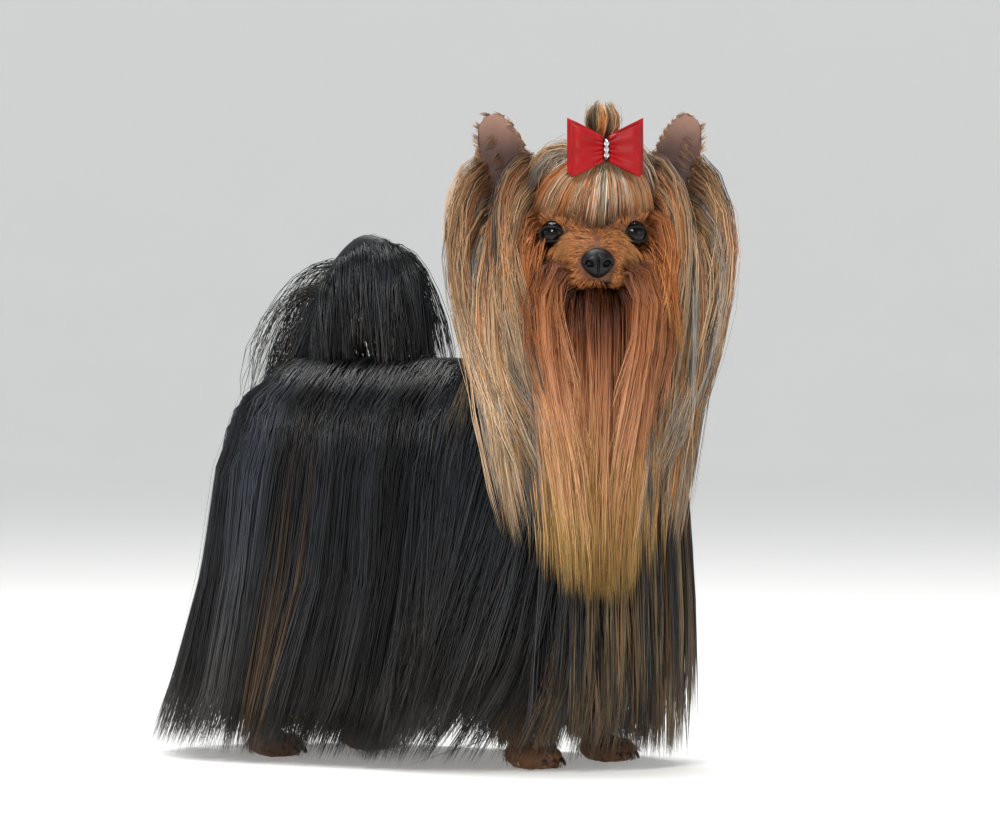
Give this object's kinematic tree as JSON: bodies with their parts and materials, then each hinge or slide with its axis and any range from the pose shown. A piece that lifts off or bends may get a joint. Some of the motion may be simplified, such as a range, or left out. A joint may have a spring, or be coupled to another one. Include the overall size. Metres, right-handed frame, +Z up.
{
  "type": "yorkshire terrier",
  "caption": "Toy dog in a floor-length silky show coat, standing with its head turned to its right and a bow on its topknot.",
  "frame": {"origin": "on the floor, under the middle of the animal's bounding box", "axes": "+X the way the body faces, +Y the dog's left side, +Z up"},
  "size_m": [0.3264, 0.177, 0.3559],
  "materials": {
    "coat_body": "long silky hair, black with a steel sheen",
    "coat_mane": "long silky hair, steel and tan",
    "coat_face": "long silky hair, rich tan",
    "coat_ear": "silky hair, pale tan and steel",
    "coat_topknot": "silky hair, tan and steel",
    "coat_leg": "silky hair, tan",
    "nose": "black, moist",
    "eye": "black, glossy",
    "ribbon": "red satin",
    "band": "silver with clear stones"
  },
  "bodies": {
    "root": {"torso": "coat_body", "neck": "coat_mane", "head": "coat_face", "ear_left": "coat_ear", "ear_right": "coat_ear", "topknot": "coat_topknot", "tail": "coat_body", "leg_front_right": "coat_leg", "leg_front_left": "coat_leg", "leg_hind_right": "coat_leg", "leg_hind_left": "coat_leg", "nose": "nose", "eye_left": "eye", "eye_right": "eye", "bow_left": "ribbon", "bow_right": "ribbon", "bow_band": "band"}
  },
  "joints": []
}
